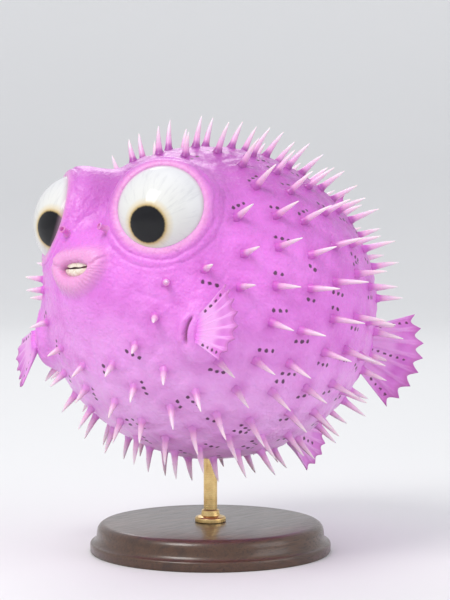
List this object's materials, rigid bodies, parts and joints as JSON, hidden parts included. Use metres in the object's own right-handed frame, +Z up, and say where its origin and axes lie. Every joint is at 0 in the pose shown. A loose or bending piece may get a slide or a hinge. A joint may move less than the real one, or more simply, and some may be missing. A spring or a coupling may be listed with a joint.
{
  "type": "inflated spot-fin porcupinefish on a display stand",
  "caption": "Life-size porcupine pufferfish blown up into a spiny ball, nose lifted and tail bent to its left, held by one rod on a round display base.",
  "frame": {"origin": "centre of the display base's flat underside, below the middle of the fish's round body", "axes": "+Z up; the fish faces -X with its nose lifted 13 degrees and leans 5 degrees to its right; its left side faces -Y and its tail bends towards -Y"},
  "size_m": [0.2153, 0.1968, 0.2238],
  "materials": {
    "skin_back": "moist, fine-grained pink skin",
    "skin_belly": "moist, pale pink skin",
    "fin": "thin rayed membrane with dark dots",
    "eye": "wet, pale iris round a black pupil",
    "beak": "ivory tooth plate",
    "wood": "dark satin lacquer",
    "brass": "brushed"
  },
  "bodies": {
    "root": {"head": "skin_back", "back": "skin_back", "belly": "skin_belly", "tail_stalk": "skin_back", "tail_fin": "fin", "dorsal_fin": "fin", "anal_fin": "fin", "pectoral_fin_left": "fin", "pectoral_fin_right": "fin", "nostril_left": "skin_back", "nostril_right": "skin_back", "eye_left": "eye", "eye_right": "eye", "upper_beak": "beak", "lower_beak": "beak", "stand_base": "wood", "stand_collar": "brass", "stand_rod": "brass"}
  },
  "joints": []
}
